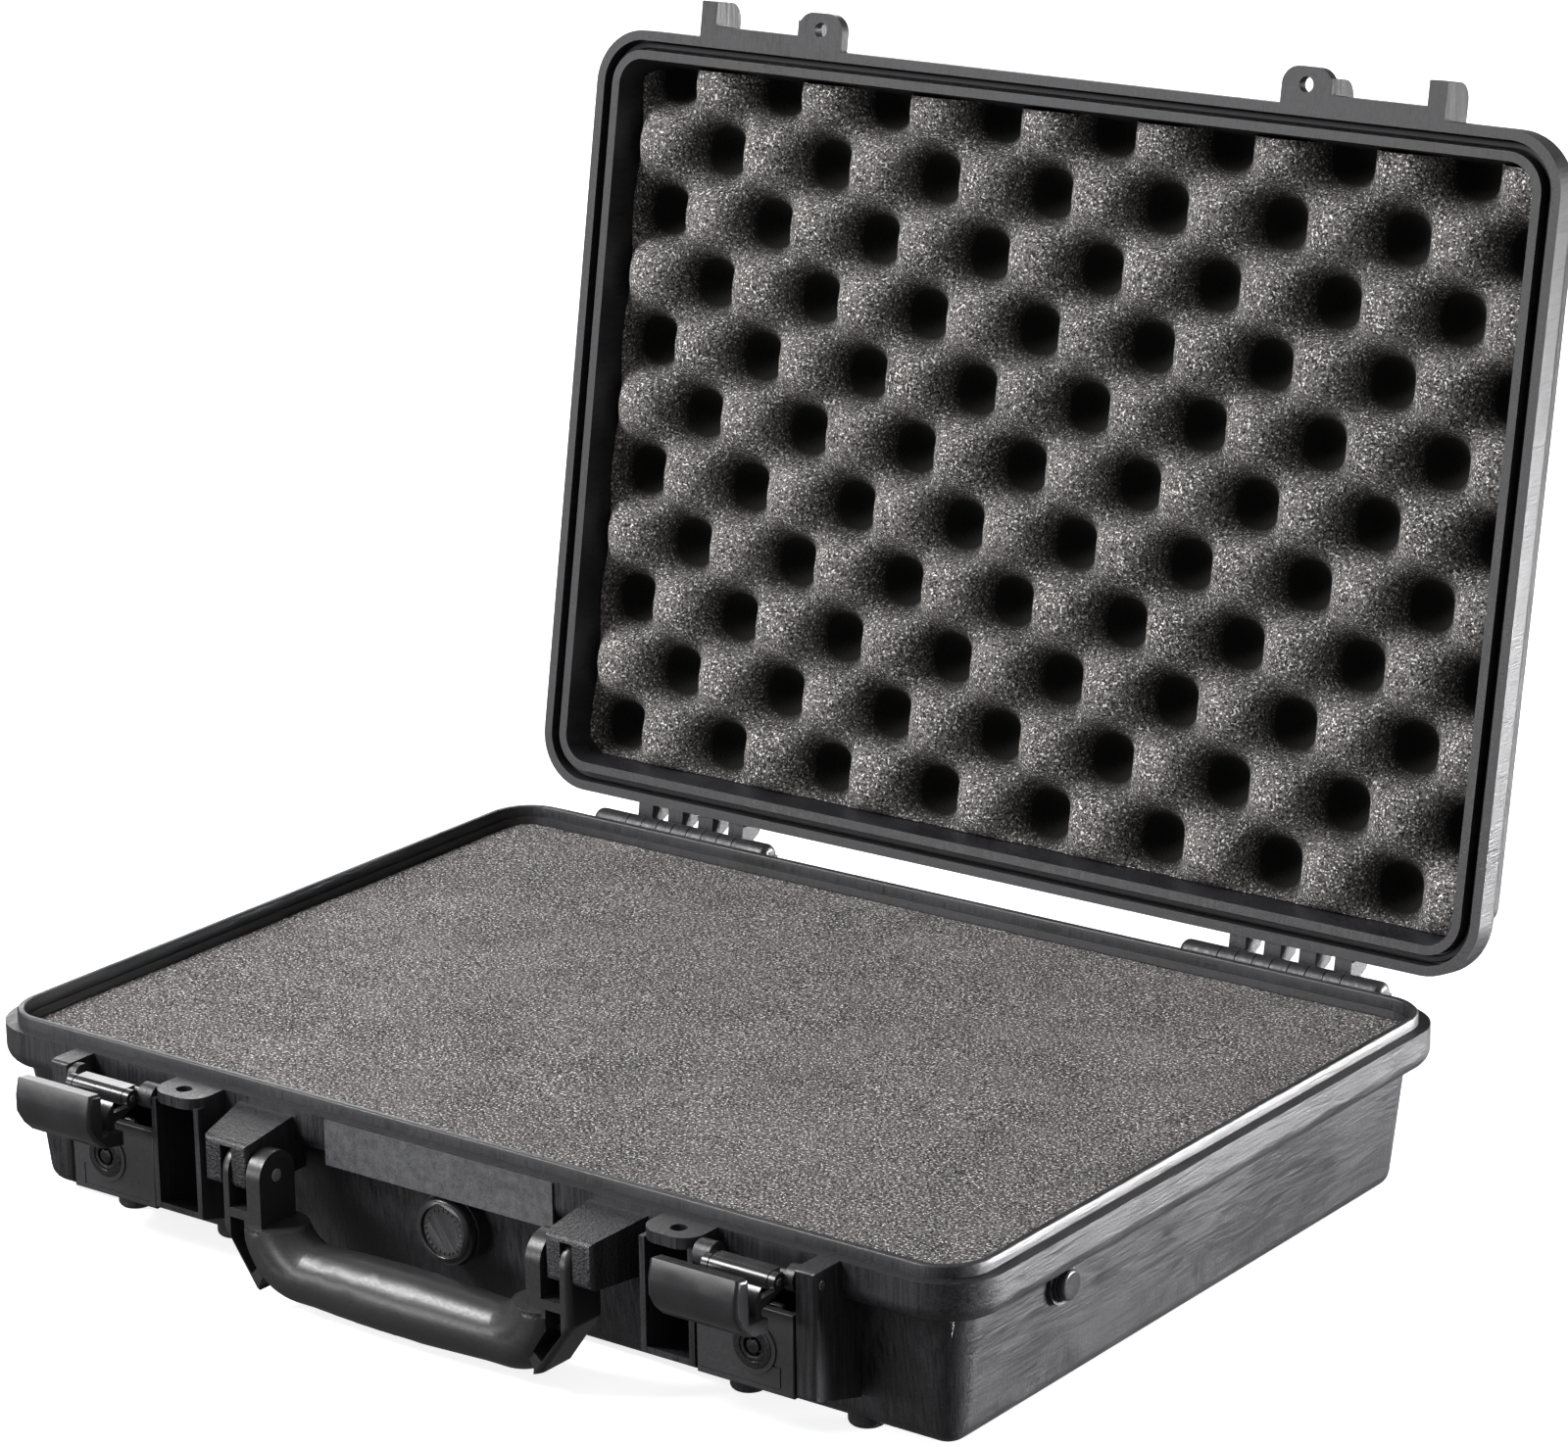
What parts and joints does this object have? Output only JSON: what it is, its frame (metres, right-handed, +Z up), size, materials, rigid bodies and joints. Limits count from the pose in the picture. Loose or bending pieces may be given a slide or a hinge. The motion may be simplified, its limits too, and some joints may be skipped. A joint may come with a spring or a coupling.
{
  "type": "attache case",
  "caption": "Hard moulded attache case with an open hinged lid, claw latches, key locks, fold-down handle, pressure valve and foam in both halves.",
  "frame": {"origin": "middle of the pad under the tray, on the table", "axes": "+X along the long side, -Y out of the front with the latches and handle, +Y to the hinges, +Z up"},
  "size_m": [0.43, 0.4506, 0.385],
  "materials": {
    "shell_plastic": "semi-matt with a fine brushed grain",
    "handle_plastic": "satin",
    "gloss_plastic": "polished",
    "plate_plastic": "satin",
    "grip_rubber": "smooth",
    "seal_rubber": "matt",
    "foam": "open-cell foam, speckled charcoal",
    "pin_steel": "drawn",
    "lock_metal": "satin black plating"
  },
  "bodies": {
    "base": {"base_shell": "shell_plastic", "base_foam": "foam", "floor_pad": "foam", "valve_body": "gloss_plastic", "valve_face": "gloss_plastic", "valve_seal": "seal_rubber", "hinge_pin_r": "pin_steel", "hinge_pin_l": "pin_steel", "latch_pin_r": "pin_steel", "latch_pin_l": "pin_steel", "lock_plate_r": "plate_plastic", "lock_plate_l": "plate_plastic", "lock_body_r": "lock_metal", "lock_body_l": "lock_metal", "handle_pin_r": "pin_steel", "handle_pin_l": "pin_steel", "strap_washer_r": "shell_plastic", "strap_washer_l": "shell_plastic", "strap_stud_r": "gloss_plastic", "strap_stud_l": "gloss_plastic"},
    "lid": {"lid_shell": "shell_plastic", "lid_gasket": "seal_rubber", "lid_foam": "foam"},
    "handle": {"handle_frame": "handle_plastic", "handle_grip": "grip_rubber"},
    "latch_link_r": {"latch_link_r": "gloss_plastic", "link_pin_r": "pin_steel"},
    "latch_claw_r": {"latch_claw_r": "gloss_plastic"},
    "lock_plug_r": {"lock_plug_r": "lock_metal", "lock_cam_r": "pin_steel"},
    "latch_link_l": {"latch_link_l": "gloss_plastic", "link_pin_l": "pin_steel"},
    "latch_claw_l": {"latch_claw_l": "gloss_plastic"},
    "lock_plug_l": {"lock_plug_l": "lock_metal", "lock_cam_l": "pin_steel"}
  },
  "joints": [
    {"name": "lid_hinge", "type": "hinge", "parent": "base", "child": "lid", "pos_m": [0, 0.1613, 0.0628], "axis": [-1, 0, 0], "range_deg": [-99.7, 0]},
    {"name": "handle_swing", "type": "hinge", "parent": "base", "child": "handle", "pos_m": [0, -0.1685, 0.0475], "axis": [-1, 0, 0], "range_deg": [0, 90]},
    {"name": "latch_throw_r", "type": "hinge", "parent": "base", "child": "latch_link_r", "pos_m": [0.14, -0.1614, 0.06], "axis": [-1, 0, 0], "range_deg": [-90, 0]},
    {"name": "claw_turn_r", "type": "hinge", "parent": "latch_link_r", "child": "latch_claw_r", "pos_m": [0.14, -0.1674, 0.06], "axis": [1, 0, 0], "range_deg": [-180, 0]},
    {"name": "lock_turn_r", "type": "hinge", "parent": "base", "child": "lock_plug_r", "pos_m": [0.142, -0.1652, 0.0343], "axis": [0, -1, 0], "range_deg": [0, 90]},
    {"name": "latch_throw_l", "type": "hinge", "parent": "base", "child": "latch_link_l", "pos_m": [-0.14, -0.1614, 0.06], "axis": [-1, 0, 0], "range_deg": [-90, 0]},
    {"name": "claw_turn_l", "type": "hinge", "parent": "latch_link_l", "child": "latch_claw_l", "pos_m": [-0.14, -0.1674, 0.06], "axis": [1, 0, 0], "range_deg": [-180, 0]},
    {"name": "lock_turn_l", "type": "hinge", "parent": "base", "child": "lock_plug_l", "pos_m": [-0.142, -0.1652, 0.0343], "axis": [0, -1, 0], "range_deg": [-90, 0]}
  ],
  "couplings": [
    {"joint": "claw_turn_r", "follows": "latch_throw_r", "ratio": 2},
    {"joint": "claw_turn_l", "follows": "latch_throw_l", "ratio": 2}
  ]
}
